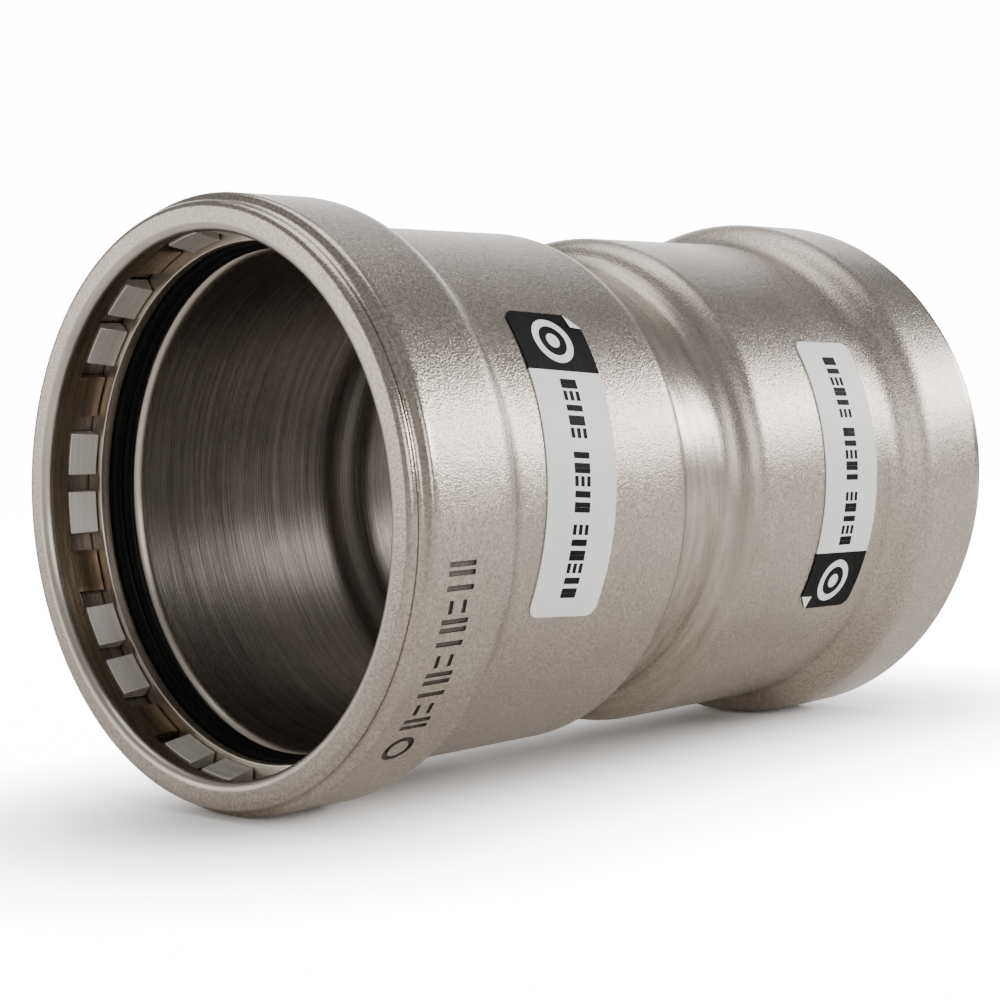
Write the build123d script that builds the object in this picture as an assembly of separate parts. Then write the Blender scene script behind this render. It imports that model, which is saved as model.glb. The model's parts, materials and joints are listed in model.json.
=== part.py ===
"""Straight press coupling for 3 inch steel pipe, lying on its side.

Units are millimetres. The origin is the middle of the coupling on its own axis.
+X runs along the axis from the front mouth to the rear mouth, and +Z is up.
Each end holds a grip cage, eighteen grip jaws, a separator ring and a rubber seal.
Sections are drawn as (depth, radius): depth is measured inwards from the mouth.
"""
from build123d import *
import os
from math import radians, sin

# the pipe that the coupling joins
pipe_radius = 44.45
pipe_clearance = 0.55

# overall sizes of the one-piece shell
half_length = 84.0
collar_radius = 54.5
tube_wall = 4.8
waist_drop = 5.4
waist_wall = 4.1
bore_radius = pipe_radius + pipe_clearance
tube_radius = bore_radius + tube_wall
waist_radius = tube_radius - waist_drop
waist_bore_radius = waist_radius - waist_wall

# the front face, its two small ridges and the rounded mouth edge
mouth_gap = 2.7
mouth_radius = bore_radius + mouth_gap
mouth_rounding = 1.6
edge_rounding = 1.3
edge_ridge_drop = 1.5
valley_drop = 0.25
edge_ridge_radius = collar_radius - edge_ridge_drop
valley_depth = 2.1
valley_radius = edge_ridge_radius - valley_drop
band_start = 4.3
lip_thickness = 2.0

# depths along the shell, outside then inside
collar_end = 19.5
tube_start = 30.0
shoulder_start = 70.0
waist_start = 79.5
bore_start = 19.0
bore_rounding = 2.0
stop_depth = 66.0
stop_end = 77.0

# the chamber inside the collar and the rings in it
collar_wall = 4.0
chamber_radius = collar_radius - collar_wall
ring_gap = 0.3
ring_radius = chamber_radius - ring_gap

# grip cage: a rim with fingers that stand between the pairs of jaws
group_count = 9
group_angle = 360 / group_count
jaw_pitch = group_angle / 3
jaw_width_angle = 9.5
first_pair_angle = 4.9
cage_wall = 1.3
cage_radius = ring_radius - cage_wall
cage_start = lip_thickness + ring_gap
cage_rim_length = 3.5
jaw_length = 5.4
jaw_recess = 0.3
jaw_lead_in = 1.2
jaw_inner_radius = mouth_radius - jaw_recess

# separator ring, which keeps the grip away from the rubber
separator_length = 2.4
separator_pipe_gap = 1.4
separator_radius = bore_radius + separator_pipe_gap
separator_step_length = 0.8
separator_step = 0.4

# rubber seal with two lips, clear of a pipe of the bore's own size
seal_wall_gap = 0.1
seal_lip_clearance = 0.4
seal_groove = 1.0
seal_first_lip_rise = 0.25

# control labels stuck round the tube
label_width = 17.5
label_angle = 64.5
label_thickness = 0.2
label_lift = 0.05
label_corner = 2.2
label_centre = 44.0
label_margin = 10.0
front_label_angle = 172.8
front_label_tilt = 4.5
rear_label_angle = 180.5
rear_label_tilt = 2.0

# plain engraved marks on the front collar: a ring, then tally strokes and dashes
mark_depth = 0.45
mark_centre = 10.4
mark_height = 6.0
mark_stroke = 0.9
mark_spread = 0.75
mark_dash_length = 2.3
mark_first_angle = 221.1
mark_step_angle = 3.39
mark_count = 10
mark_kinds = 3
ring_mark_angle = 227.8
ring_mark_radius = 3.1
ring_mark_stroke = 1.1

# places that follow from the sizes above
jaw_start = cage_start + cage_rim_length + ring_gap
jaw_end = jaw_start + jaw_length
separator_start = jaw_end + ring_gap
seal_start = separator_start + separator_length + ring_gap
seal_lip_radius = bore_radius + seal_lip_clearance


def place(depth, radius):
    """A point of a section, from its depth behind the front mouth and its radius."""
    return (depth - half_length, radius)


def s_blend(start, end):
    """Two equal arcs that leave one cylinder and join the next without a corner."""
    middle = ((start[0] + end[0]) / 2, (start[1] + end[1]) / 2)
    return [TangentArc(start, middle, tangent=(1, 0)), TangentArc(end, middle, tangent=(-1, 0))]


def turned(lines, angle=360):
    """Turn a closed section round the coupling's axis."""
    return revolve(make_face(lines), axis=Axis.X, revolution_arc=angle)


def ring_sector(start, length, inner, outer, centre_angle, width_angle, lead_in=0):
    """A block cut from a ring, centred on an angle measured from +Y towards +Z.

    The lead-in is how much further out its inner face starts than it ends.
    """
    corners = [
        place(start, inner + lead_in),
        place(start + length, inner),
        place(start + length, outer),
        place(start, outer),
    ]
    block = turned(Polyline(*corners, close=True), width_angle)
    return Rot(centre_angle - width_angle / 2, 0, 0) * block


def shell_outside():
    """Outer half outline, from the mouth edge to the middle of the waist."""
    face_top = edge_ridge_radius - edge_rounding
    lines = [Line(place(0, mouth_radius + mouth_rounding), place(0, face_top))]
    ridge = place(edge_rounding, edge_ridge_radius)
    lines.append(TangentArc(place(0, face_top), ridge, tangent=(0, 1)))
    valley = place(valley_depth, valley_radius)
    lines += s_blend(ridge, valley)
    lines += s_blend(valley, place(band_start, collar_radius))
    lines.append(Line(place(band_start, collar_radius), place(collar_end, collar_radius)))
    lines += s_blend(place(collar_end, collar_radius), place(tube_start, tube_radius))
    lines.append(Line(place(tube_start, tube_radius), place(shoulder_start, tube_radius)))
    lines += s_blend(place(shoulder_start, tube_radius), place(waist_start, waist_radius))
    lines.append(Line(place(waist_start, waist_radius), place(half_length, waist_radius)))
    return lines


def shell_inside():
    """Inner half outline: mouth lip, ring chamber, pipe bore, stop and waist bore."""
    mouth_edge = place(0, mouth_radius + mouth_rounding)
    lip_end = place(mouth_rounding, mouth_radius)
    bore_edge = place(bore_start + bore_rounding, bore_radius)
    stop_edge = place(stop_depth, bore_radius)
    lines = [
        TangentArc(mouth_edge, lip_end, tangent=(0, -1)),
        Polyline(
            lip_end,
            place(lip_thickness, mouth_radius),
            place(lip_thickness, chamber_radius),
            place(bore_start, chamber_radius),
            place(bore_start, bore_radius + bore_rounding),
        ),
        TangentArc(place(bore_start, bore_radius + bore_rounding), bore_edge, tangent=(0, -1)),
        Line(bore_edge, stop_edge),
    ]
    lines += s_blend(stop_edge, place(stop_end, waist_bore_radius))
    lines.append(Line(place(stop_end, waist_bore_radius), place(half_length, waist_bore_radius)))
    return lines


def tally_mark(kind):
    """One flat mark: a double stroke, a pair of dashes or a single stroke."""
    depth = 2 * mark_depth
    if kind == 0:
        stroke = Box(mark_height, mark_stroke, depth)
        return [Pos(0, side * mark_spread, 0) * stroke for side in (-1, 1)]
    if kind == 1:
        dash = Box(mark_stroke, mark_dash_length, depth)
        return [Pos(side * mark_height / 4, 0, 0) * dash for side in (-1, 1)]
    return [Box(mark_height, mark_stroke, depth)]


def ring_mark():
    """A plain flat ring, which stands before the tally marks."""
    depth = 2 * mark_depth
    hole = Cylinder(ring_mark_radius - ring_mark_stroke, depth)
    return Cylinder(ring_mark_radius, depth) - hole


def engraved_marks():
    """The ring and the row of tally marks, laid on the collar as cutters."""
    seat = Pos(mark_centre - half_length, collar_radius, 0) * Rot(90, 0, 0)
    cutters = [Rot(ring_mark_angle, 0, 0) * seat * ring_mark()]
    for index in range(mark_count):
        angle = mark_first_angle - index * mark_step_angle
        for mark in tally_mark(index % mark_kinds):
            cutters.append(Rot(angle, 0, 0) * seat * mark)
    return cutters


def body_shell():
    """The whole shell, turned from one outline that is the same on both halves."""
    half_outline = shell_outside() + shell_inside()
    far_outline = [mirror(line, about=Plane.YZ) for line in half_outline]
    shell = turned(half_outline + far_outline)
    for cutter in engraved_marks():
        shell = shell - cutter
    return shell


def grip_cage():
    """Rim of the grip ring, cut away so that a finger stands between the pairs of jaws."""
    cage_length = jaw_end - cage_start
    cage = turned(
        Polyline(
            place(cage_start, cage_radius),
            place(cage_start + cage_length, cage_radius),
            place(cage_start + cage_length, ring_radius),
            place(cage_start, ring_radius),
            close=True,
        )
    )
    window_angle = group_angle - jaw_width_angle
    window_inner = cage_radius - cage_wall
    window_outer = ring_radius + cage_wall
    for group in range(group_count):
        angle = first_pair_angle + group * group_angle
        window = ring_sector(
            cage_start + cage_rim_length, cage_length, window_inner, window_outer, angle, window_angle
        )
        cage = cage - window
    return cage


def grip_jaws():
    """Hardened blocks in pairs, with a lead-in for the pipe that they bite when pressed."""
    jaws = []
    for group in range(group_count):
        for side in (-0.5, 0.5):
            angle = first_pair_angle + group * group_angle + side * jaw_pitch
            jaws.append(
                ring_sector(
                    jaw_start,
                    jaw_length,
                    jaw_inner_radius,
                    ring_radius,
                    angle,
                    jaw_width_angle,
                    jaw_lead_in,
                )
            )
    return jaws


def separator_ring():
    """Flat metal ring with one fine step, next to the seal."""
    end = separator_start + separator_length
    step = end - separator_step_length
    return turned(
        Polyline(
            place(separator_start, separator_radius),
            place(step, separator_radius),
            place(step, separator_radius + separator_step),
            place(end, separator_radius + separator_step),
            place(end, ring_radius),
            place(separator_start, ring_radius),
            close=True,
        )
    )


def seal_ring():
    """Rubber ring that fills the back of the chamber, with two rounded lips."""
    middle = (seal_start + bore_start) / 2
    groove_radius = seal_lip_radius + seal_groove
    first_crest = place((seal_start + middle) / 2, seal_lip_radius + seal_first_lip_rise)
    second_crest = place((middle + bore_start) / 2, seal_lip_radius)
    groove = place(middle, groove_radius)
    front_foot = place(seal_start, groove_radius)
    rear_foot = place(bore_start, groove_radius)
    outer = chamber_radius - seal_wall_gap
    return turned(
        [
            ThreePointArc(front_foot, first_crest, groove),
            ThreePointArc(groove, second_crest, rear_foot),
            Polyline(rear_foot, place(bore_start, outer), place(seal_start, outer), front_foot),
        ]
    )


def control_label(angle, tilt):
    """Thin strip with rounded corners that wraps part of the way round the tube."""
    inner = tube_radius + label_lift
    outer = inner + label_thickness
    wide, round_tube = label_width + 2 * label_margin, label_angle + 2 * label_margin
    sleeve = ring_sector(label_centre - wide / 2, wide, inner, outer, 0, round_tube)
    chord = 2 * inner * sin(radians(label_angle / 2))
    blank = extrude(RectangleRounded(label_width, chord, label_corner), outer + label_margin)
    blank = Pos(label_centre - half_length, 0, 0) * Rot(-90, 0, 0) * Rot(0, 0, tilt) * blank
    return Rot(angle, 0, 0) * (sleeve & blank)


def write_part(name, shape):
    export_step(shape, "parts/" + name + ".step")


def write_end(end, label_turn, label_tilt, place_end):
    """Write every loose piece of one end of the coupling."""
    write_part(end + "_grip_cage", place_end(grip_cage()))
    write_part(end + "_separator_ring", place_end(separator_ring()))
    write_part(end + "_seal_ring", place_end(seal_ring()))
    write_part(end + "_control_label", place_end(control_label(label_turn, label_tilt)))
    for number, jaw in enumerate(grip_jaws(), start=1):
        write_part(f"{end}_grip_jaw_{number:02d}", place_end(jaw))


os.makedirs("parts", exist_ok=True)
write_part("body_shell", body_shell())
write_end("front", front_label_angle, front_label_tilt, lambda shape: shape)
write_end("rear", rear_label_angle, rear_label_tilt, lambda shape: mirror(shape, about=Plane.YZ))
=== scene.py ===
# %% [markdown]
# # A steel press coupling, finished in Blender
# The coupling joins two large steel pipes. Its shell is one formed tube, and each end hides
# a grip ring, a separator ring and a rubber seal. The CAD model fixes every place and size,
# so this lesson only gives each piece a finer mesh and a finish.

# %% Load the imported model
import bpy
import json
import math
from mathutils import Matrix, Vector


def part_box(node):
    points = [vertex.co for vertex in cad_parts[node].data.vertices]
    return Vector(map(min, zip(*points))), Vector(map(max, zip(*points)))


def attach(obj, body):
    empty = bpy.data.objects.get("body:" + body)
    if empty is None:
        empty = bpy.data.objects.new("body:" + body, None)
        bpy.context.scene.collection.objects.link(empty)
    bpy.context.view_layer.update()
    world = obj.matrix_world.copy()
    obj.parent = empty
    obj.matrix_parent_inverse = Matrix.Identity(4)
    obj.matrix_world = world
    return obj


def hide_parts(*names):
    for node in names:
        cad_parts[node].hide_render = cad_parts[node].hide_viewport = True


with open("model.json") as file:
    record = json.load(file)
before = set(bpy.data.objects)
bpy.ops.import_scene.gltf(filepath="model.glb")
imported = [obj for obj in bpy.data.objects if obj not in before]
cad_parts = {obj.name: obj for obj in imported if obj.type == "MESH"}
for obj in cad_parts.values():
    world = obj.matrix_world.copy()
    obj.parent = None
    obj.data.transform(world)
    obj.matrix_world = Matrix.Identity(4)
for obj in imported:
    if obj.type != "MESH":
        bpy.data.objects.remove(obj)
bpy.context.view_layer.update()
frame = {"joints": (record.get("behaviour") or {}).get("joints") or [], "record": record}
mm = 0.001

# %% [markdown]
# ## Sizes
# Whatever the frame can tell is read from it: the length, the rings' places and the bore. The
# rest, the collar among them, are the section's own values, written once in metres.

# %% Sizes that the frame gives, and the collar
shell_low, shell_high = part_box("body_shell")
half_length = shell_high.x
collar_radius = 54.5 * mm
bore_radius = next(
    mount["dims"]["r_mm"] for mount in frame["record"]["mounts"] if mount["name"] == "front_socket"
) * mm
cage_low, cage_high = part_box("front_grip_cage")
ring_radius = cage_high.z
jaw_low, jaw_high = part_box("front_grip_jaw_01")
separator_low, separator_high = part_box("front_separator_ring")
seal_low, seal_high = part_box("front_seal_ring")
label_low, label_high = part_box("front_control_label")
print("half length", round(half_length, 4), "ring radius", round(ring_radius, 4))

# %% Sizes of the shell's section
tube_radius = 49.8 * mm
waist_radius = 44.4 * mm
waist_bore_radius = 40.3 * mm
chamber_radius = 50.5 * mm
mouth_radius = 47.7 * mm
mouth_rounding = 1.6 * mm
edge_rounding = 1.3 * mm
edge_ridge_radius = 53.0 * mm
valley_depth = 2.1 * mm
valley_radius = 52.75 * mm
band_start = 4.3 * mm
lip_thickness = 2.0 * mm
collar_end = 19.5 * mm
tube_start = 30.0 * mm
shoulder_start = 70.0 * mm
waist_start = 79.5 * mm
bore_start = 19.0 * mm
bore_rounding = 2.0 * mm
stop_depth = 66.0 * mm
stop_end = 77.0 * mm

# %% [markdown]
# ## Drawing a section
# A turned piece is drawn as a closed wire and spun round the axis, as a lathe would cut it.
# Primitives alone can't give these steps and lips. The wire is extruded from one vertex,
# point by point, and arcs are worked out by formula, so a radius can be changed in one place.

# %% Helpers that return points of a section
def at(depth, radius):
    """A point of a section, from its depth behind the front mouth and its radius."""
    return (depth - half_length, radius)


def quarter_arc(start, end, leaves_along_x, count=8):
    """Quarter of an ellipse between two points, leaving the first along X or along the radius."""
    points = []
    for index in range(count + 1):
        turn = math.pi / 2 * index / count
        slow, fast = 1 - math.cos(turn), math.sin(turn)
        share_x, share_r = (fast, slow) if leaves_along_x else (slow, fast)
        x = start[0] + (end[0] - start[0]) * share_x
        points.append((x, start[1] + (end[1] - start[1]) * share_r))
    return points


def s_blend(start, end, count=10):
    """Two equal arcs that leave one cylinder and join the next without a corner."""
    run, rise = end[0] - start[0], end[1] - start[1]
    radius = (run ** 2 + rise ** 2) / (4 * abs(rise))
    reach = math.asin(min(1.0, abs(run) / 2 / radius))
    side, way = math.copysign(1, rise), math.copysign(1, run)
    first, second = [], []
    for index in range(count + 1):
        turn = reach * index / count
        along, across = way * radius * math.sin(turn), side * radius * (1 - math.cos(turn))
        first.append((start[0] + along, start[1] + across))
        second.append((end[0] - along, end[1] - across))
    return first + second[-2::-1]


def straight(start, end, margin=0.5 * mm, count=4):
    """A straight stretch with extra points near its ends, so smooth shading stays flat on it."""
    length = math.dist(start, end)
    shares = [0, min(0.3, margin / length)]
    shares += [(index + 1) / (count + 1) for index in range(count)]
    shares += [1 - min(0.3, margin / length), 1]
    return [
        (start[0] + (end[0] - start[0]) * share, start[1] + (end[1] - start[1]) * share)
        for share in sorted(shares)
    ]


# %% [markdown]
# The spin needs a little care. The last point meets the first, doubles are merged so that the
# seam is closed, and only then are the normals turned outwards.

# %% Helpers that turn a section into a solid
def clear_selection():
    bpy.ops.object.select_all(action="DESELECT")


def without_repeats(points):
    kept = [points[0]]
    for point in points[1:]:
        if math.dist(point, kept[-1]) > 1e-6:
            kept.append(point)
    return kept


def draw_wire(name, points):
    """A closed wire in the XZ plane, extruded from a single vertex."""
    clear_selection()
    bpy.ops.mesh.primitive_plane_add(size=mm, location=(points[0][0], 0, points[0][1]))
    piece = bpy.context.object
    piece.name = name
    bpy.ops.object.transform_apply(location=True)
    bpy.ops.object.mode_set(mode="EDIT")
    bpy.ops.mesh.select_all(action="SELECT")
    bpy.ops.mesh.merge(type="CENTER")
    route = without_repeats(list(points) + [points[0]])
    for before, after in zip(route, route[1:]):
        step = (after[0] - before[0], 0, after[1] - before[1])
        bpy.ops.mesh.extrude_vertices_move(TRANSFORM_OT_translate={"value": step})
    bpy.ops.mesh.select_all(action="SELECT")
    bpy.ops.mesh.remove_doubles(threshold=1e-7)
    return piece


def close_and_smooth(piece, sharp_degrees=32):
    """Merge doubles, face the surface outwards and keep only real corners sharp."""
    bpy.ops.object.mode_set(mode="EDIT")
    bpy.ops.mesh.select_all(action="SELECT")
    bpy.ops.mesh.remove_doubles(threshold=2e-6)
    bpy.ops.mesh.normals_make_consistent(inside=False)
    bpy.ops.object.mode_set(mode="OBJECT")
    smooth_by_angle(piece, sharp_degrees)


def turn_ring(name, points, steps):
    """Spin a closed section all the way round the coupling's axis."""
    piece = draw_wire(name, points)
    bpy.ops.mesh.spin(steps=steps, angle=2 * math.pi, center=(0, 0, 0), axis=(1, 0, 0))
    close_and_smooth(piece)
    return piece


def turn_sector(name, points, width, steps, centre):
    """Spin a closed section part of the way, cap both ends and centre it on an angle."""
    piece = draw_wire(name, points)
    bpy.ops.mesh.spin(steps=steps, angle=width, center=(0, 0, 0), axis=(1, 0, 0))
    bpy.ops.mesh.select_all(action="SELECT")
    bpy.ops.mesh.fill_holes(sides=0)
    close_and_smooth(piece)
    middle = sum((v.co for v in piece.data.vertices), Vector()) / len(piece.data.vertices)
    piece.data.transform(Matrix.Rotation(centre - math.atan2(middle.z, middle.y), 4, "X"))
    return piece


def box_section(x_low, x_high, inner, outer):
    return [(x_low, inner), (x_high, inner), (x_high, outer), (x_low, outer)]


def join_pieces(name, pieces):
    clear_selection()
    for piece in pieces:
        piece.select_set(True)
    bpy.context.view_layer.objects.active = pieces[0]
    bpy.ops.object.join()
    pieces[0].name = name
    return pieces[0]


def smooth_by_angle(piece, sharp_degrees=32):
    """Smooth shading, with sharp edges only where the surface has a real corner."""
    clear_selection()
    piece.select_set(True)
    bpy.context.view_layer.objects.active = piece
    bpy.ops.object.shade_smooth_by_angle(angle=math.radians(sharp_degrees))


def cut_away(piece, cutters):
    """Join the cutters, which don't touch each other, and subtract them in one go."""
    cutter = join_pieces("cutter", cutters)
    clear_selection()
    piece.select_set(True)
    bpy.context.view_layer.objects.active = piece
    hole = piece.modifiers.new("cut", "BOOLEAN")
    hole.operation = "DIFFERENCE"
    hole.solver = "EXACT"
    hole.object = cutter
    bpy.ops.object.modifier_apply(modifier=hole.name)
    bpy.data.objects.remove(cutter)


def soften_edges(piece, width, segments=2, corner_degrees=40):
    """A small bevel on the real corners, applied, so that they catch the light."""
    clear_selection()
    piece.select_set(True)
    bpy.context.view_layer.objects.active = piece
    bevel = piece.modifiers.new("soft", "BEVEL")
    bevel.width = width
    bevel.segments = segments
    bevel.limit_method = "ANGLE"
    bevel.angle_limit = math.radians(corner_degrees)
    bpy.ops.object.modifier_apply(modifier=bevel.name)
    smooth_by_angle(piece)


# %% [markdown]
# ## The shell
# On the real coupling the shell is a length of stainless tube. Its collars are rolled out,
# its middle is drawn in, and its lips are curled over the rings. One wire carries all of that,
# so the shell is one spin. The front half is drawn, and the rear half is its mirror image.

# %% The shell's outline
def shell_outside():
    """From the mouth's edge over the collar and the tube to the middle of the waist."""
    face_top = edge_ridge_radius - edge_rounding
    ridge = at(edge_rounding, edge_ridge_radius)
    valley = at(valley_depth, valley_radius)
    points = straight(at(0, mouth_radius + mouth_rounding), at(0, face_top), count=2)
    points += quarter_arc(at(0, face_top), ridge, leaves_along_x=False)
    points += s_blend(ridge, valley, 5)
    points += s_blend(valley, at(band_start, collar_radius), 7)
    points += straight(at(band_start, collar_radius), at(collar_end, collar_radius))
    points += s_blend(at(collar_end, collar_radius), at(tube_start, tube_radius))
    points += straight(at(tube_start, tube_radius), at(shoulder_start, tube_radius), count=8)
    points += s_blend(at(shoulder_start, tube_radius), at(waist_start, waist_radius))
    points += straight(at(waist_start, waist_radius), at(half_length, waist_radius), count=2)
    return points


def shell_inside():
    """From the mouth's edge past the chamber, down the bore and over the pipe stop."""
    lip_end = at(mouth_rounding, mouth_radius)
    bore_foot = at(bore_start, bore_radius + bore_rounding)
    bore_edge = at(bore_start + bore_rounding, bore_radius)
    stop_edge = at(stop_depth, bore_radius)
    points = quarter_arc(at(0, mouth_radius + mouth_rounding), lip_end, leaves_along_x=False)
    points += [at(lip_thickness, mouth_radius)]
    points += straight(at(lip_thickness, chamber_radius), at(bore_start, chamber_radius))
    points += quarter_arc(bore_foot, bore_edge, leaves_along_x=False)
    points += straight(bore_edge, stop_edge, count=8)
    points += s_blend(stop_edge, at(stop_end, waist_bore_radius))
    points += [at(half_length, waist_bore_radius)]
    return points


def mirrored(points):
    return [(-x, radius) for x, radius in reversed(points)]


outside, inside = shell_outside(), shell_inside()
shell_wire = outside + mirrored(outside) + list(reversed(mirrored(inside))) + list(reversed(inside))
shell = turn_ring("shell_body", shell_wire, 288)
print("shell faces", len(shell.data.polygons))

# %% [markdown]
# ## Engraved marks
# The collar carries a shallow row of marks. Here they are plain strokes and short dashes.
# Small beveled blocks are set on the collar and cut away, which gives real walls and shadows.

# %% Helpers for the marks
mark_depth = 0.45 * mm
mark_centre = 10.4 * mm
mark_height = 6.0 * mm
mark_stroke = 0.9 * mm
mark_spread = 0.75 * mm
mark_dash_length = 2.3 * mm
mark_edge = 0.12 * mm


def lay_on_collar(cutter, across, along, angle):
    """Place a cutter on the collar, moved along X and round the collar from an angle."""
    seat = Vector((mark_centre - half_length + across, collar_radius, along))
    cutter.data.transform(Matrix.Rotation(angle, 4, "X") @ Matrix.Translation(seat))
    return cutter


def bar_cutter(height, width, across, along, angle):
    """A block with beveled edges that sinks into the collar by the mark's depth."""
    clear_selection()
    bpy.ops.mesh.primitive_cube_add(size=1)
    block = bpy.context.object
    bpy.ops.object.mode_set(mode="EDIT")
    bpy.ops.mesh.select_all(action="SELECT")
    bpy.ops.transform.resize(value=(height, 2 * mark_depth, width))
    bpy.ops.mesh.bevel(offset=mark_edge, segments=2)
    bpy.ops.object.mode_set(mode="OBJECT")
    return lay_on_collar(block, across, along, angle)


def ring_cutter(radius, stroke, angle):
    """A flat ring: a washer section spun round the collar's own radius."""
    section = box_section(-mark_depth, mark_depth, radius - stroke, radius)
    ring = turn_ring("ring_mark", section, 48)
    ring.data.transform(Matrix.Rotation(math.pi / 2, 4, "Z"))
    return lay_on_collar(ring, 0, 0, angle)


def tally_cutters(kind, angle):
    """A double stroke, a pair of dashes or a single stroke."""
    if kind == 0:
        return [
            bar_cutter(mark_height, mark_stroke, 0, side * mark_spread, angle) for side in (-1, 1)
        ]
    if kind == 1:
        return [
            bar_cutter(mark_stroke, mark_dash_length, side * mark_height / 4, 0, angle)
            for side in (-1, 1)
        ]
    return [bar_cutter(mark_height, mark_stroke, 0, 0, angle)]


# %% Cut the marks
mark_first_angle = math.radians(221.1)
mark_step_angle = math.radians(3.39)
mark_count = 10
mark_kinds = 3
ring_mark_angle = math.radians(227.8)
ring_mark_radius = 3.1 * mm
ring_mark_stroke = 1.1 * mm

cutters = [ring_cutter(ring_mark_radius, ring_mark_stroke, ring_mark_angle)]
for index in range(mark_count):
    angle = mark_first_angle - index * mark_step_angle
    cutters += tally_cutters(index % mark_kinds, angle)
cut_away(shell, cutters)
smooth_by_angle(shell)
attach(shell, "shell")
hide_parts("body_shell")
print("marks cut", mark_count + 1, "shell faces", len(shell.data.polygons))

# %% [markdown]
# ## The rings behind the mouth
# Each end holds a grip cage, a separator ring and a rubber seal. The cage is a rim with fingers.
# It is turned whole, and the windows for the pairs of jaws are then cut out of it, which
# leaves one closed piece. A small bevel on every corner makes the thin bright edges.

# %% Grip cages
group_count = 9
group_angle = math.radians(360 / group_count)
jaw_width = math.radians(9.5)
cage_inner = 48.9 * mm
cage_edge = 0.35 * mm
ring_gap = 0.3 * mm
rim_end = jaw_low.x - ring_gap
window_inner = 45.0 * mm
window_outer = 54.0 * mm
window_overrun = 2.0 * mm


def front_jaw_angle(number):
    """Angle of a jaw from +Y towards +Z, read from the direction in which it is pressed."""
    name = f"front_jaw_{number:02d}_press"
    axis = next(joint["axis"] for joint in frame["joints"] if joint["name"] == name)
    return math.atan2(-axis[2], -axis[1])


def grip_cage(end, side):
    """side is 1 for the front end and -1 for the mirrored rear end."""
    low, high = cage_low.x * side, cage_high.x * side
    corner = cage_edge * side
    section = quarter_arc((low, cage_inner + cage_edge), (low + corner, cage_inner), False, 4)
    section += straight((low + corner, cage_inner), (high, cage_inner), count=2)
    section += [(high, ring_radius), (low, ring_radius)]
    cage = turn_ring(end + "_cage_ring", section, 216)
    windows = []
    for group in range(group_count):
        pair = front_jaw_angle(2 * group + 1) + group_angle / 6
        far_side = high + window_overrun * side
        window = box_section(rim_end * side, far_side, window_inner, window_outer)
        windows.append(turn_sector("window", window, group_angle - jaw_width, 12, pair))
    cut_away(cage, windows)
    soften_edges(cage, 0.15 * mm)
    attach(cage, end + "_cage")
    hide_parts(end + "_grip_cage")
    return cage


cages = [grip_cage("front", 1), grip_cage("rear", -1)]
print("cage faces", [len(cage.data.polygons) for cage in cages])

# %% [markdown]
# The jaws are hardened blocks. One is modelled, and each of the others is a copy with its own
# mesh, turned to the angle of its own press joint, so a change to the block changes them all.

# %% Grip jaws
jaw_inner = 47.4 * mm
jaw_lead_in = 1.2 * mm
jaw_bevel = 0.16 * mm


def jaw_block():
    """A block cut from a ring, with a lead-in for the pipe, centred on +Y at the front end."""
    section = box_section(jaw_low.x, jaw_high.x, jaw_inner, ring_radius)
    section[0] = (jaw_low.x, jaw_inner + jaw_lead_in)
    block = turn_sector("jaw", section, jaw_width, 6, 0.0)
    soften_edges(block, jaw_bevel, segments=3)
    return block


def copy_jaw(block, end, number):
    """A copy with its own mesh. At the rear it is a mirror image, faced outwards again."""
    jaw = block.copy()
    jaw.data = block.data.copy()
    jaw.name = f"{end}_jaw_block_{number:02d}"
    bpy.context.collection.objects.link(jaw)
    jaw.data.transform(Matrix.Rotation(front_jaw_angle(number), 4, "X"))
    if end == "rear":
        jaw.data.transform(Matrix.Scale(-1, 4, (1, 0, 0)))
        jaw.data.flip_normals()
    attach(jaw, f"{end}_jaw_{number:02d}")
    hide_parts(f"{end}_grip_jaw_{number:02d}")
    return jaw


pattern_jaw = jaw_block()
jaws = []
for number in range(1, 2 * group_count + 1):
    jaws.append(copy_jaw(pattern_jaw, "front", number))
    jaws.append(copy_jaw(pattern_jaw, "rear", number))
bpy.data.objects.remove(pattern_jaw)
print("jaws", len(jaws), "faces each", len(jaws[0].data.polygons))

# %% [markdown]
# The separator ring keeps the jaws off the rubber. It has one fine step on the side of the
# seal, and its mouth edge is rounded so that it shows as a thin bright line.

# %% Separator rings
separator_inner = 46.4 * mm
separator_step = 0.4 * mm
separator_step_length = 0.8 * mm
separator_round = 0.3 * mm


def separator_ring(end, side):
    low, high = separator_low.x * side, separator_high.x * side
    step = high - separator_step_length * side
    corner = separator_round * side
    section = quarter_arc(
        (low, separator_inner + separator_round), (low + corner, separator_inner), False, 4
    )
    section += straight((low + corner, separator_inner), (step, separator_inner), 0.2 * mm, 1)
    section += [(step, separator_inner + separator_step), (high, separator_inner + separator_step)]
    section += [(high, ring_radius), (low, ring_radius)]
    ring = turn_ring(end + "_separator", section, 240)
    soften_edges(ring, 0.08 * mm)
    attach(ring, end + "_separator")
    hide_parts(end + "_separator_ring")
    return ring


separators = [separator_ring("front", 1), separator_ring("rear", -1)]
print("separator faces", len(separators[0].data.polygons))

# %% [markdown]
# The seal is moulded rubber with two soft lips. The lips are arcs in its section, so the ring
# shows two dark rolls.

# %% Seal rings
seal_lip = bore_radius + 0.4 * mm
seal_groove = 1.0 * mm
seal_first_lip_rise = 0.25 * mm
seal_outer = seal_high.z


def lip_arc(start, end, crest, count=10):
    """A rounded lip between two feet, as half an ellipse that comes down to the crest radius."""
    foot = seal_lip + seal_groove
    points = []
    for index in range(count + 1):
        turn = math.pi * index / count
        x = (start + end) / 2 - (end - start) / 2 * math.cos(turn)
        points.append((x, foot - (foot - crest) * math.sin(turn)))
    return points


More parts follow.
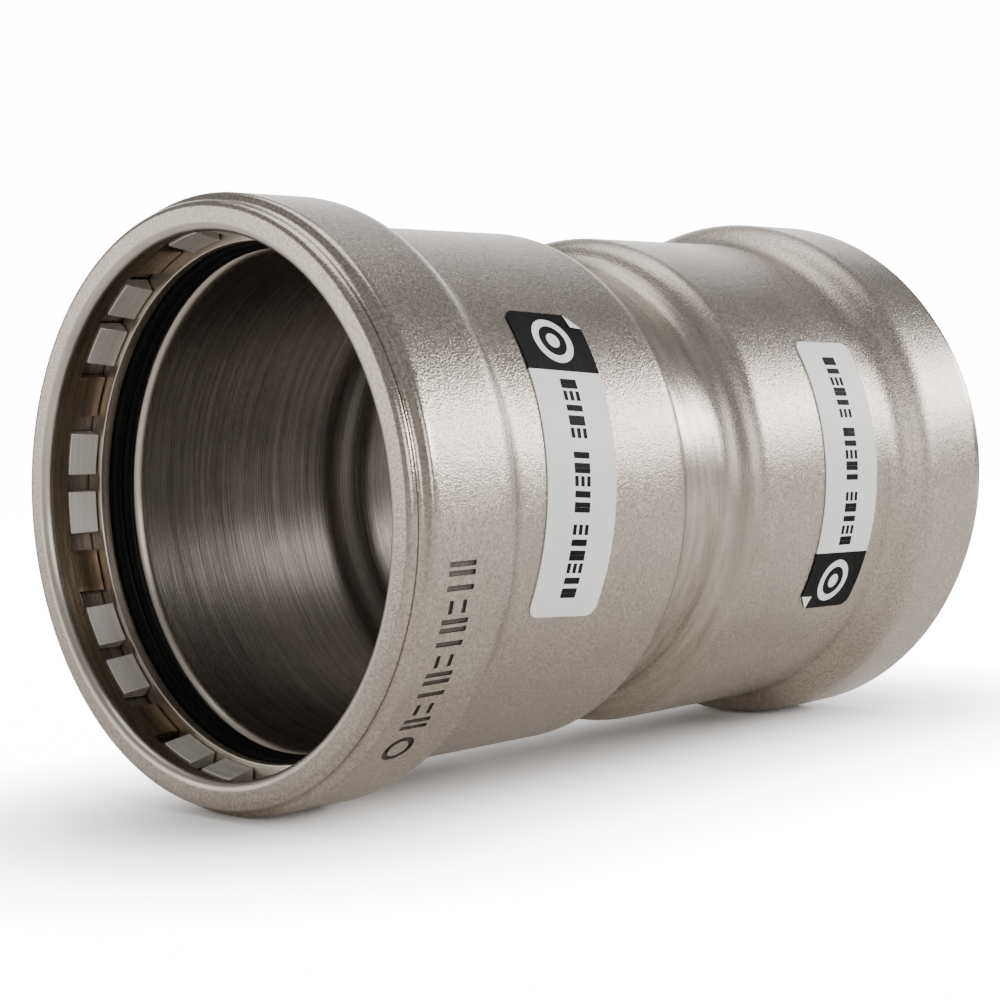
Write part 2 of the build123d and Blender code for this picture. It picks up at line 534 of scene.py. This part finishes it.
def seal_ring(end, side):
    low, high = seal_low.x * side, seal_high.x * side
    middle = (low + high) / 2
    section = lip_arc(low, middle, seal_lip + seal_first_lip_rise)
    section += lip_arc(middle, high, seal_lip)
    section += [(high, seal_outer), (low, seal_outer)]
    seal = turn_ring(end + "_seal", section, 240)
    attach(seal, "shell")
    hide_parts(end + "_seal_ring")
    return seal


seals = [seal_ring("front", 1), seal_ring("rear", -1)]
print("seal faces", len(seals[0].data.polygons))

# %% [markdown]
# ## Labels
# A strip of film is stuck round each tube, and the fitter tears it off after pressing. It is cut
# flat with rounded corners, divided along its length, and wrapped on the tube by its own
# formula, because the bend tool needs a window. The print is a thin layer of its own.

# %% Helpers for film that lies on the tube
film_height = 0.05 * mm
film_thickness = 0.2 * mm
ink_thickness = 0.03 * mm
label_width = 17.5 * mm
label_angle = math.radians(64.5)
label_length = tube_radius * label_angle
label_corner = 2.2 * mm


def trim_corner(patch, side_across, side_along, size, segments):
    """Bevel the one corner that lies furthest out on the given sides."""
    reach = [side_across * v.co.x + side_along * v.co.y for v in patch.data.vertices]
    bpy.ops.object.mode_set(mode="EDIT")
    bpy.ops.mesh.select_mode(type="VERT")
    bpy.ops.mesh.select_all(action="DESELECT")
    bpy.ops.object.mode_set(mode="OBJECT")
    patch.data.vertices[reach.index(max(reach))].select = True
    bpy.ops.object.mode_set(mode="EDIT")
    bpy.ops.mesh.bevel(affect="VERTICES", offset=size, segments=segments)
    bpy.ops.object.mode_set(mode="OBJECT")


def flat_patch(name, width, length, centre_across, centre_along, corners=()):
    """A flat rectangle, across in X and along in Y, divided every two millimetres along Y."""
    clear_selection()
    bpy.ops.mesh.primitive_plane_add(size=1)
    patch = bpy.context.object
    patch.name = name
    patch.data.transform(Matrix.Diagonal((width, length, 1, 1)))
    for corner in corners:
        trim_corner(patch, *corner)
    bpy.ops.object.mode_set(mode="EDIT")
    cuts = int(length / (2 * mm))
    for index in range(1, cuts + 1):
        bpy.ops.mesh.select_all(action="SELECT")
        place = (0, -length / 2 + length * index / (cuts + 1), 0)
        bpy.ops.mesh.bisect(plane_co=place, plane_no=(0, 1, 0))
    bpy.ops.object.mode_set(mode="OBJECT")
    patch.data.transform(Matrix.Translation((centre_across, centre_along, 0)))
    return patch


def thicken(patch, thickness):
    clear_selection()
    patch.select_set(True)
    bpy.context.view_layer.objects.active = patch
    solid = patch.modifiers.new("film", "SOLIDIFY")
    solid.thickness = thickness
    solid.offset = 1
    bpy.ops.object.modifier_apply(modifier=solid.name)


def wrap_on_tube(patch, centre_x, middle_angle, turn, tilt, height):
    """Turn a flat patch a little about the label's middle, then roll it onto the tube."""
    for vertex in patch.data.vertices:
        across, along, up = vertex.co
        along -= label_length / 2
        across, along = (
            across * math.cos(tilt) - along * math.sin(tilt),
            along * math.cos(tilt) + across * math.sin(tilt),
        )
        angle = middle_angle + turn * along / tube_radius
        radius = tube_radius + height + up
        vertex.co = (centre_x + turn * across, radius * math.cos(angle), radius * math.sin(angle))
    close_and_smooth(patch)


# %% Cut and print both labels
black_length = label_length * 14.2 / 64.5
letter_height = 3.9 * mm
stroke_width = 0.86 * mm
letter_pitch = 2.24 * mm
word_gap = 1.6 * mm
word_lengths = (5, 5, 6)
print_start = black_length + 1.6 * mm
sign_radius = 4.6 * mm
sign_stroke = 1.5 * mm
fold_size = 3.0 * mm
fold_lift = 0.25 * mm
front_label_angle = math.radians(172.8)
front_label_tilt = math.radians(4.5)
rear_label_angle = math.radians(180.5)
rear_label_tilt = math.radians(2.0)


def tally_letter(kind, along):
    """A double stroke, three short dashes across or one broader stroke, as for the engraving."""
    half = letter_height / 2 - stroke_width / 2
    first, last = along + stroke_width / 2, along + letter_pitch * 0.78 - stroke_width / 2
    middle, long = (first + last) / 2, last - first + stroke_width
    if kind == 0:
        bars = [(0, first, letter_height, stroke_width), (0, last, letter_height, stroke_width)]
    elif kind == 1:
        bars = [(side * half, middle, stroke_width, long) for side in (-1, 0, 1)]
    else:
        bars = [(0, middle, letter_height, stroke_width * 1.3)]
    return [
        flat_patch("bar", height, width, across, place)
        for across, place, height, width in bars
    ]


def word_bars():
    """Bold tally strokes in three word-long groups, in place of any wording."""
    bars, along, count = [], print_start, 0
    for word in word_lengths:
        for _ in range(word):
            bars += tally_letter(count % 3, along)
            along += letter_pitch
            count += 1
        along += word_gap
    return bars


def ring_sign(radius, stroke, centre_along):
    """A plain ring and a dot, as a sign that stands for no firm."""
    parts = []
    for outer, inner in ((radius, radius - stroke), (stroke, 0.0)):
        clear_selection()
        bpy.ops.mesh.primitive_circle_add(vertices=40, radius=outer, fill_type="NGON")
        disc = bpy.context.object
        if inner:
            bpy.ops.object.mode_set(mode="EDIT")
            bpy.ops.mesh.select_all(action="SELECT")
            bpy.ops.mesh.inset(thickness=stroke)
            bpy.ops.mesh.delete(type="FACE")
            bpy.ops.object.mode_set(mode="OBJECT")
        disc.data.transform(Matrix.Translation((0, centre_along, 0)))
        parts.append(disc)
    return parts


def folded_corner(size):
    """The corner that is folded over and shows the film's white back as a triangle."""
    clear_selection()
    bpy.ops.mesh.primitive_circle_add(vertices=3, radius=size, fill_type="NGON")
    flap = bpy.context.object
    side = label_width / 2
    places = ((side - size, 0, 0), (side, size, 0), (side - size, size, fold_lift))
    for vertex, place in zip(flap.data.vertices, places):
        vertex.co = place
    return flap


def label_pieces(end, centre_x, middle_angle, turn, tilt):
    """The white film, the black film, the bars, the sign and the folded corner."""
    white_length = label_length - black_length
    inner_end = [(side, 1, label_corner, 6) for side in (-1, 1)]
    outer_end = [(-1, -1, label_corner, 6), (1, -1, fold_size, 1)]
    film = flat_patch(
        "film", label_width, white_length, 0, black_length + white_length / 2, inner_end
    )
    block = flat_patch("block", label_width, black_length, 0, black_length / 2, outer_end)
    top = film_height + film_thickness
    layers = (
        ("film", [film], film_thickness, film_height),
        ("block", [block], film_thickness, film_height),
        ("bars", word_bars(), ink_thickness, top),
        ("sign", ring_sign(sign_radius, sign_stroke, black_length / 2), ink_thickness, top),
        ("corner", [folded_corner(fold_size)], ink_thickness, top),
    )
    made = {}
    for name, patches, thickness, height in layers:
        layer = join_pieces(f"{end}_label_{name}", patches)
        thicken(layer, thickness)
        wrap_on_tube(layer, centre_x, middle_angle, turn, tilt, height)
        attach(layer, "shell")
        made[name] = layer
    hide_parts(end + "_control_label")
    return made


label_x = (label_low.x + label_high.x) / 2
front_label = label_pieces("front", label_x, front_label_angle, 1, front_label_tilt)
rear_label = label_pieces("rear", -label_x, rear_label_angle, -1, rear_label_tilt)
print("label pieces", [piece.name for piece in front_label.values()])

# %% [markdown]
# ## Effects that several finishes share
# A finish is more than a colour. Three effects are built once as node groups: fine turned
# lines round the axis, the pits of bead blasting, and faint smudges. Each group only
# gives out numbers, and each material feeds them to its own shader.

# %% Helpers for node groups
def new_group(name, inputs, outputs):
    """An empty shader group with named number inputs and outputs."""
    tree = bpy.data.node_groups.new(name, "ShaderNodeTree")
    for label, default in inputs.items():
        socket = tree.interface.new_socket(name=label, in_out="INPUT", socket_type="NodeSocketFloat")
        socket.default_value = default
    for label in outputs:
        tree.interface.new_socket(name=label, in_out="OUTPUT", socket_type="NodeSocketFloat")
    return tree, tree.nodes.new("NodeGroupInput"), tree.nodes.new("NodeGroupOutput")


def add_math(tree, operation, *values):
    """A math node whose inputs are sockets or numbers. Returns its output socket."""
    node = tree.nodes.new("ShaderNodeMath")
    node.operation = operation
    for slot, value in zip(node.inputs, values):
        if isinstance(value, (int, float)):
            slot.default_value = value
        else:
            tree.links.new(value, slot)
    return node.outputs[0]


def add_noise(tree, vector, scale, detail=2.0, roughness=0.5, w=None):
    """A noise node on a vector socket. Returns its value between 0 and 1."""
    node = tree.nodes.new("ShaderNodeTexNoise")
    node.noise_dimensions = "3D" if w is None else "4D"
    node.inputs["Detail"].default_value = detail
    node.inputs["Roughness"].default_value = roughness
    tree.links.new(vector, node.inputs["Vector"])
    if isinstance(scale, (int, float)):
        node.inputs["Scale"].default_value = scale
    else:
        tree.links.new(scale, node.inputs["Scale"])
    if w is not None:
        tree.links.new(w, node.inputs["W"])
    return node.outputs["Fac"]


def spread(tree, value, low, high, new_low=0.0, new_high=1.0):
    """Stretch a range of a value onto another range, and clamp it."""
    node = tree.nodes.new("ShaderNodeMapRange")
    tree.links.new(value, node.inputs["Value"])
    for label, number in (
        ("From Min", low), ("From Max", high), ("To Min", new_low), ("To Max", new_high),
    ):
        node.inputs[label].default_value = number
    return node.outputs["Result"]


# %% Turned lines: rings of fine scratches round the axis
def make_turned_lines():
    """Lines that change quickly along X and the radius, and slowly round the axis."""
    tree, inputs, outputs = new_group(
        "turned_lines", {"Lines per metre": 2500.0, "Streak turns": 2.0}, ("Height", "Streaks")
    )
    place = tree.nodes.new("ShaderNodeTexCoord")
    parts = tree.nodes.new("ShaderNodeSeparateXYZ")
    tree.links.new(place.outputs["Object"], parts.inputs[0])
    x, y, z = parts.outputs
    radius = add_math(tree, "SQRT", add_math(
        tree, "ADD", add_math(tree, "MULTIPLY", y, y), add_math(tree, "MULTIPLY", z, z)
    ))
    density = inputs.outputs["Lines per metre"]
    turns = inputs.outputs["Streak turns"]
    round_y = add_math(tree, "MULTIPLY", add_math(tree, "DIVIDE", y, radius), turns)
    round_z = add_math(tree, "MULTIPLY", add_math(tree, "DIVIDE", z, radius), turns)
    reach = add_math(tree, "ADD", x, radius)
    across = add_math(tree, "SUBTRACT", radius, x)
    for label, share, detail in (("Height", 1.0, 3.0), ("Streaks", 0.22, 4.0)):
        joined = tree.nodes.new("ShaderNodeCombineXYZ")
        pace = add_math(tree, "MULTIPLY", density, share)
        tree.links.new(add_math(tree, "MULTIPLY", reach, pace), joined.inputs[0])
        tree.links.new(add_math(tree, "MULTIPLY", across, pace), joined.inputs[1])
        tree.links.new(round_y, joined.inputs[2])
        value = add_noise(tree, joined.outputs[0], 1.0, detail, 0.6, round_z)
        tree.links.new(spread(tree, value, 0.3, 0.7), outputs.inputs[label])
    return tree


# %% Blasted pits: the even grain that bead blasting leaves
def make_blasted_pits():
    """Fine pits for the bump, a speckle for the colour and a slow mottle."""
    tree, inputs, outputs = new_group(
        "blasted_pits", {"Pits per metre": 3200.0}, ("Height", "Speckle", "Mottle")
    )
    place = tree.nodes.new("ShaderNodeTexCoord")
    density = inputs.outputs[0]
    vector = place.outputs["Object"]
    fine = add_noise(tree, vector, density, 2.0, 0.55)
    tree.links.new(spread(tree, fine, 0.3, 0.7), outputs.inputs["Height"])
    speckle = add_noise(tree, vector, add_math(tree, "MULTIPLY", density, 0.6), 3.0, 0.7)
    tree.links.new(spread(tree, speckle, 0.35, 0.65), outputs.inputs["Speckle"])
    mottle = add_noise(tree, vector, add_math(tree, "MULTIPLY", density, 0.045), 4.0, 0.6)
    tree.links.new(spread(tree, mottle, 0.35, 0.65), outputs.inputs["Mottle"])
    return tree


# %% Smudges: slow cloudy patches from handling and heat
def make_smudges():
    tree, inputs, outputs = new_group("smudges", {"Patches per metre": 35.0}, ("Patch",))
    place = tree.nodes.new("ShaderNodeTexCoord")
    value = add_noise(tree, place.outputs["Object"], inputs.outputs[0], 5.0, 0.55)
    tree.links.new(spread(tree, value, 0.38, 0.66), outputs.inputs["Patch"])
    return tree


turned_lines = make_turned_lines()
blasted_pits = make_blasted_pits()
smudges = make_smudges()
print("groups", [tree.name for tree in (turned_lines, blasted_pits, smudges)])

# %% [markdown]
# ## The finishes
# The shell is blasted outside and brushed at the waist and inside. Brushed steel looks dark
# where it faces the dark bore and bright where it turns to the lamp, so colour alone would not
# do: the fine height of the lines has to break up the reflections as well. The bore and the
# chamber are also given a darker colour, as painted shade.

# %% Helpers for materials
def new_finish(name):
    """A material with a Principled shader. Returns the material, its tree and the shader."""
    finish = bpy.data.materials.new(name)
    finish.use_nodes = True
    tree = finish.node_tree
    return finish, tree, tree.nodes["Principled BSDF"]


def use_group(tree, group, **values):
    """Place a group in a material with its own values, given with _ for a space."""
    node = tree.nodes.new("ShaderNodeGroup")
    node.node_tree = group
    for label, number in values.items():
        node.inputs[label.replace("_", " ")].default_value = number
    return node


def blend_colour(tree, share, first, second):
    """Mix two colours by a share. Each is a colour or a socket."""
    node = tree.nodes.new("ShaderNodeMix")
    node.data_type = "RGBA"
    for slot, value in ((node.inputs[6], first), (node.inputs[7], second)):
        if isinstance(value, tuple):
            slot.default_value = (*value, 1.0)
        else:
            tree.links.new(value, slot)
    tree.links.new(share, node.inputs[0])
    return node.outputs[2]


def add_bump(tree, shader, height, distance, strength, under=None):
    """Bump from a height, on top of an earlier bump if there is one."""
    node = tree.nodes.new("ShaderNodeBump")
    node.inputs["Distance"].default_value = distance
    node.inputs["Strength"].default_value = strength
    tree.links.new(height, node.inputs["Height"])
    if under is not None:
        tree.links.new(under, node.inputs["Normal"])
    tree.links.new(node.outputs[0], shader.inputs["Normal"])
    return node.outputs[0]


def position_parts(tree):
    place = tree.nodes.new("ShaderNodeTexCoord")
    parts = tree.nodes.new("ShaderNodeSeparateXYZ")
    tree.links.new(place.outputs["Object"], parts.inputs[0])
    return parts.outputs


# %% Blasted steel, brushed at the waist
brushed_fade = 8 * mm
brushed_overlap = 1 * mm
polished_rim = band_start + 0.1 * mm
polished_fade = 1.0 * mm


def blasted_steel(name, dark, light, rough_low, rough_high):
    """Blasted grain outside, brushed lines at the waist and a polished rim at each mouth."""
    finish, tree, shader = new_finish(name)
    pits = use_group(tree, blasted_pits, Pits_per_metre=2900.0)
    lines = use_group(tree, turned_lines, Lines_per_metre=1900.0, Streak_turns=4.0)
    cloud = use_group(tree, smudges, Patches_per_metre=40.0)
    reach = add_math(tree, "ABSOLUTE", position_parts(tree)[0])
    waist_edge = half_length - shoulder_start
    waist_end = waist_edge + brushed_overlap
    waist = spread(tree, reach, waist_end, waist_end - brushed_fade)
    rim_edge = half_length - polished_rim
    rim = spread(tree, reach, rim_edge - polished_fade, rim_edge)
    middle = tuple((a + b) / 2 for a, b in zip(dark, light))
    grain = blend_colour(tree, pits.outputs["Speckle"], dark, light)
    worn = blend_colour(tree, lines.outputs["Streaks"], dark, light)
    base = blend_colour(tree, waist, grain, worn)
    soft = spread(tree, pits.outputs["Mottle"], 0, 1, 0.0, 0.35)
    base = blend_colour(tree, soft, base, tuple(part * 0.8 for part in middle))
    tree.links.new(base, shader.inputs["Base Color"])
    shader.inputs["Metallic"].default_value = 1.0
    uneven = add_math(tree, "ADD", cloud.outputs["Patch"], pits.outputs["Speckle"])
    rough = spread(tree, uneven, 0, 2, rough_low, rough_high)
    rough = add_math(tree, "SUBTRACT", rough, spread(tree, rim, 0, 1, 0.0, 0.07))
    tree.links.new(rough, shader.inputs["Roughness"])
    smooth = add_math(tree, "MAXIMUM", waist, rim)
    pit_height = add_math(
        tree, "MULTIPLY", pits.outputs["Height"], spread(tree, smooth, 0, 1, 1.0, 0.4)
    )
    first = add_bump(tree, shader, pit_height, 0.042 * mm, 1.0)
    line_height = add_math(tree, "MULTIPLY", lines.outputs["Height"], waist)
    add_bump(tree, shader, line_height, 0.03 * mm, 0.8, first)
    return finish


# %% Turned steel, for the bore, the cage, the jaws and the separator
def turned_steel(name, dark, light, rough_low, rough_high, line_depth):
    """Fine rings round the axis, with colour, roughness and height that follow them."""
    finish, tree, shader = new_finish(name)
    lines = use_group(tree, turned_lines, Lines_per_metre=4200.0, Streak_turns=1.5)
    cloud = use_group(tree, smudges, Patches_per_metre=60.0)
    base = blend_colour(tree, lines.outputs["Streaks"], dark, light)
    shade = spread(tree, cloud.outputs["Patch"], 0, 1, 0.0, 0.28)
    base = blend_colour(tree, shade, base, tuple(part * 0.6 for part in dark))
    tree.links.new(base, shader.inputs["Base Color"])
    shader.inputs["Metallic"].default_value = 1.0
    rough = spread(tree, lines.outputs["Height"], 0, 1, rough_low, rough_high)
    tree.links.new(rough, shader.inputs["Roughness"])
    add_bump(tree, shader, lines.outputs["Height"], line_depth, 0.5)
    return finish


# %% Rubber and label film
def moulded(name, dark, light, rough_low, rough_high, grain_per_metre, gloss):
    """Rubber or printed film: a soft mottle, a fine grain and a weak shine."""
    finish, tree, shader = new_finish(name)
    grain = use_group(tree, blasted_pits, Pits_per_metre=grain_per_metre)
    cloud = use_group(tree, smudges, Patches_per_metre=100.0)
    base = blend_colour(tree, cloud.outputs["Patch"], dark, light)
    tree.links.new(base, shader.inputs["Base Color"])
    rough = spread(tree, grain.outputs["Speckle"], 0, 1, rough_low, rough_high)
    tree.links.new(rough, shader.inputs["Roughness"])
    shader.inputs["Specular IOR Level"].default_value = gloss
    add_bump(tree, shader, grain.outputs["Height"], 0.015 * mm, 0.3)
    return finish


# %% Give every piece its finish
def set_finish(piece, *finishes):
    for finish in finishes:
        piece.data.materials.append(finish)


set_finish(
    shell,
    blasted_steel("blasted_steel", (0.35, 0.304, 0.262), (0.61, 0.545, 0.483), 0.21, 0.31),
    # The bore and chamber get about half the brightness of the machined edge: painted shade inside
    # the tube.
    turned_steel("bore_steel_painted_shade", (0.16, 0.143, 0.127), (0.32, 0.29, 0.262), 0.32, 0.44, 0.06 * mm),
    turned_steel("machined_edge", (0.52, 0.465, 0.41), (0.68, 0.62, 0.56), 0.26, 0.34, 0.03 * mm),
    blasted_steel("etched_steel", (0.10, 0.09, 0.08), (0.18, 0.165, 0.15), 0.45, 0.60),
)
cage_finish = turned_steel(
    "cage_steel", (0.20, 0.15, 0.10), (0.42, 0.34, 0.25), 0.30, 0.44, 0.04 * mm
)
jaw_finish = turned_steel(
    "jaw_steel", (0.78, 0.74, 0.69), (0.93, 0.90, 0.86), 0.50, 0.62, 0.03 * mm
)
separator_finish = turned_steel(
    "separator_steel", (0.56, 0.50, 0.43), (0.76, 0.70, 0.62), 0.28, 0.40, 0.03 * mm
)
rubber_finish = moulded(
    "seal_rubber", (0.004, 0.004, 0.004), (0.008, 0.008, 0.008), 0.5, 0.65, 2500.0, 0.08
)
white_film = moulded(
    "white_film", (0.92, 0.92, 0.92), (0.97, 0.97, 0.97), 0.4, 0.5, 1500.0, 0.4
)
black_film = moulded(
    "black_film", (0.006, 0.006, 0.006), (0.012, 0.012, 0.013), 0.5, 0.65, 1500.0, 0.08
)


def shell_finish(face):
    """0 the blasted outside, 1 the bore and chamber in painted shade, 2 a machined edge, 3 an
    engraving.
    """
    radius = math.hypot(face.center.y, face.center.z)
    outward = (face.center.y * face.normal.y + face.center.z * face.normal.z) / radius
    depth = half_length - abs(face.center.x)
    if abs(depth - mark_centre) < mark_height and collar_radius - radius > 0.02 * mm:
        if radius > collar_radius - 1.1 * mark_depth:
            return 3
    if depth < mouth_rounding and radius < mouth_radius + mouth_rounding:
        return 2
    if bore_start < depth < bore_start + bore_rounding and radius < bore_radius + bore_rounding:
        return 2
    return int(depth > mouth_rounding and radius < chamber_radius + 0.1 * mm and outward < 0.05)


counts = [0, 0, 0, 0]
for face in shell.data.polygons:
    face.material_index = shell_finish(face)
    counts[face.material_index] += 1
print("shell faces in each finish", counts)
for piece in cages:
    set_finish(piece, cage_finish)
for piece in jaws:
    set_finish(piece, jaw_finish)
for piece in separators:
    set_finish(piece, separator_finish)
for piece in seals:
    set_finish(piece, rubber_finish)
for label in (front_label, rear_label):
    for name, piece in label.items():
        set_finish(piece, black_film if name in ("block", "bars") else white_film)

# %% [markdown]
# ## The studio
# The coupling lies on a pale floor that curves up all round it, so that there is no
# horizon from any side. The floor also glows for the camera, from nothing under the coupling
# to full strength a hand's width away. This paints a soft shadow round the coupling, on top of
# the real shadow that the lamps cast on the floor. A long lamp low on the right draws the bright
# band on the tube, a wide one lights the top, and weak ones reach the two mouths. The world stays
# a quiet grey, which leaves a darker band between them.

# %% Floor and backdrop
floor_radius = 1.6
sweep_radius = 0.9
floor_height = -collar_radius
paper_seen_by_metal = (0.90, 0.88, 0.85)
paper_seen_by_camera = (1.1, 1.1, 1.1)
backdrop_glow = 15.0
# These sizes shape the painted shadow. The glow is left out near the coupling.
painted_shadow_half_length = 74 * mm
painted_shadow_reach = 86 * mm
painted_shadow_bend = 2.3


def studio_bowl():
    """A floor that sweeps up into a round wall."""
    wire = [(0.0, 0.001), (0.0, floor_radius / 2), (0.0, floor_radius)]
    count = 16
    for index in range(1, count + 1):
        turn = math.pi / 2 * index / count
        wire.append((
            sweep_radius * (1 - math.cos(turn)), floor_radius + sweep_radius * math.sin(turn)
        ))
    clear_selection()
    bpy.ops.mesh.primitive_plane_add(size=mm, location=(wire[0][1], 0, wire[0][0]))
    bowl = bpy.context.object
    bowl.name = "studio_floor"
    bpy.ops.object.transform_apply(location=True)
    bpy.ops.object.mode_set(mode="EDIT")
    bpy.ops.mesh.select_all(action="SELECT")
    bpy.ops.mesh.merge(type="CENTER")
    for before, after in zip(wire, wire[1:]):
        step = (after[1] - before[1], 0, after[0] - before[0])
        bpy.ops.mesh.extrude_vertices_move(TRANSFORM_OT_translate={"value": step})
    bpy.ops.mesh.select_all(action="SELECT")
    bpy.ops.mesh.spin(steps=96, angle=2 * math.pi, center=(0, 0, 0), axis=(0, 0, 1))
    close_and_smooth(bowl, 60)
    bowl.data.transform(Matrix.Translation((0, 0, floor_height)))
    return bowl


floor = studio_bowl()
floor_finish = bpy.data.materials.new("pale_floor")
floor_finish.use_nodes = True
floor_tree = floor_finish.node_tree
floor_tree.nodes.remove(floor_tree.nodes["Principled BSDF"])
floor_output = floor_tree.nodes["Material Output"]
ray = floor_tree.nodes.new("ShaderNodeLightPath").outputs["Is Camera Ray"]
paper = floor_tree.nodes.new("ShaderNodeBsdfDiffuse")
glow = floor_tree.nodes.new("ShaderNodeEmission")
both = floor_tree.nodes.new("ShaderNodeAddShader")
floor_tone = blend_colour(floor_tree, ray, paper_seen_by_metal, paper_seen_by_camera)
floor_tree.links.new(floor_tone, paper.inputs["Color"])
# The glow grows with the distance from the coupling's axis and its ends. This paints a soft shadow
# round it.
along, across, _ = position_parts(floor_tree)
past_end = add_math(floor_tree, "ABSOLUTE", along)
past_end = add_math(floor_tree, "SUBTRACT", past_end, painted_shadow_half_length)
past_end = add_math(floor_tree, "MAXIMUM", past_end, 0.0)
gap = add_math(floor_tree, "SQRT", add_math(
    floor_tree,
    "ADD",
    add_math(floor_tree, "MULTIPLY", past_end, past_end),
    add_math(floor_tree, "MULTIPLY", across, across),
))
far = add_math(floor_tree, "POWER", spread(floor_tree, gap, 0.0, painted_shadow_reach), painted_shadow_bend)
far = add_math(floor_tree, "MULTIPLY", far, backdrop_glow)
floor_tree.links.new(add_math(floor_tree, "MULTIPLY", ray, far), glow.inputs["Strength"])
floor_tree.links.new(paper.outputs[0], both.inputs[0])
floor_tree.links.new(glow.outputs[0], both.inputs[1])
floor_tree.links.new(both.outputs[0], floor_output.inputs["Surface"])
set_finish(floor, floor_finish)

# %% Lamps
def soft_lamp(name, azimuth, elevation, distance, width, height, power):
    """A rectangular lamp that looks at the coupling from a direction, in degrees."""
    data = bpy.data.lights.new(name, "AREA")
    data.shape = "RECTANGLE"
    data.size, data.size_y = width, height
    data.energy = power
    lamp = bpy.data.objects.new(name, data)
    bpy.context.collection.objects.link(lamp)
    turn, rise = math.radians(azimuth), math.radians(elevation)
    way = Vector((
        math.cos(rise) * math.cos(turn), math.cos(rise) * math.sin(turn), math.sin(rise)
    ))
    lamp.location = way * distance
    lamp.rotation_mode = "QUATERNION"
    lamp.rotation_quaternion = (-way).to_track_quat("-Z", "Y")
    lamp.visible_camera = False
    return lamp


soft_lamp("right_strip", -38.0, 18.0, 1.1, 1.1, 0.22, 9.5)
soft_lamp("overhead", 60.0, 80.0, 1.3, 1.2, 1.0, 8.0)
soft_lamp("left_wall", 138.0, 8.0, 1.3, 0.9, 0.5, 2.2)
soft_lamp("back_wall", 48.0, 22.0, 1.4, 1.4, 0.5, 4.5)
soft_lamp("front_fill", -112.0, 14.0, 1.2, 0.7, 0.5, 3.0)

world = bpy.data.worlds.new("studio_air")
world.use_nodes = True
world.node_tree.nodes["Background"].inputs["Color"].default_value = (1.0, 1.0, 1.0, 1.0)
world.node_tree.nodes["Background"].inputs["Strength"].default_value = 0.36
bpy.context.scene.world = world

# %% [markdown]
# ## The camera
# It stands close to the front mouth, a little above the axis, with a short portrait lens.

# %% Place the camera
camera_azimuth = 44.19
camera_elevation = -2.31
camera_roll = -2.18
camera_place = Vector((-0.3047, -0.2870, 0.01385))
camera_lens = 74.5
camera_data = bpy.data.cameras.new("camera")
camera_data.lens = camera_lens
camera_data.sensor_width = 36.0
camera_data.clip_start = 0.01
camera = bpy.data.objects.new("camera", camera_data)
bpy.context.collection.objects.link(camera)
turn, rise = math.radians(camera_azimuth), math.radians(camera_elevation)
look = Vector((math.cos(rise) * math.cos(turn), math.cos(rise) * math.sin(turn), math.sin(rise)))
camera.rotation_mode = "QUATERNION"
aim = look.to_track_quat("-Z", "Y").to_matrix() @ Matrix.Rotation(math.radians(camera_roll), 3, "Z")
camera.rotation_quaternion = aim.to_quaternion()
camera.location = camera_place
bpy.context.scene.camera = camera
